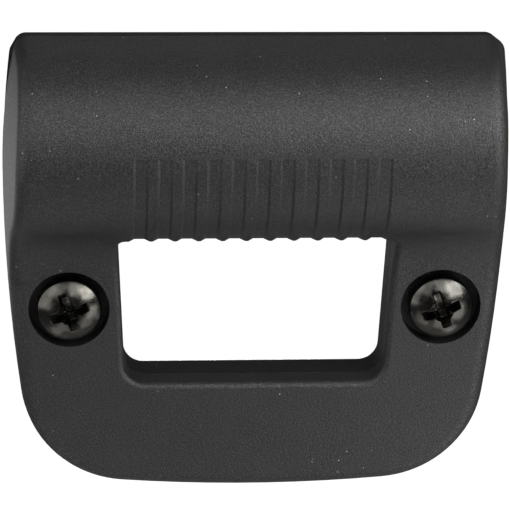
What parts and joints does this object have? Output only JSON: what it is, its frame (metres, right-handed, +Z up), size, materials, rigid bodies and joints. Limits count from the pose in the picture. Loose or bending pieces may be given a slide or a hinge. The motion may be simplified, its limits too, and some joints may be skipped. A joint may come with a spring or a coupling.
{
  "type": "basket light clip",
  "caption": "Half-round lamp bar above a plate with a strap window, clamped onto basket wires by a screwed counter plate.",
  "frame": {"origin": "middle of the light bar's axis, on the parting plane of the two plates", "axes": "+X along the bar to the right seen from the front, +Y from the front to the back, +Z up"},
  "size_m": [0.0628, 0.0207, 0.0592],
  "materials": {
    "shell_plastic": "fine spark-eroded grain",
    "plate_plastic": "fine grain",
    "screw_steel": "black oxide, half gloss",
    "nut_steel": "black oxide"
  },
  "bodies": {
    "front": {"front_shell": "shell_plastic"},
    "left_screw_body": {"left_screw": "screw_steel"},
    "right_screw_body": {"right_screw": "screw_steel"},
    "rear": {"rear_plate": "plate_plastic", "left_nut": "nut_steel", "right_nut": "nut_steel"}
  },
  "joints": [
    {"name": "left_screw_turn", "type": "hinge", "parent": "front", "child": "left_screw_body", "pos_m": [-0.0233, 0, -0.0213], "axis": [0, -1, 0], "range_deg": [0, 1800]},
    {"name": "right_screw_turn", "type": "hinge", "parent": "front", "child": "right_screw_body", "pos_m": [0.0233, 0, -0.0213], "axis": [0, -1, 0], "range_deg": [0, 1800]},
    {"name": "rear_plate_slide", "type": "slide", "parent": "front", "child": "rear", "axis": [0, 1, 0], "range_m": [0, 0.0035]}
  ],
  "couplings": [
    {"joint": "left_screw_turn", "follows": "rear_plate_slide", "rad_per_m": 8975.9},
    {"joint": "right_screw_turn", "follows": "rear_plate_slide", "rad_per_m": 8975.9}
  ]
}
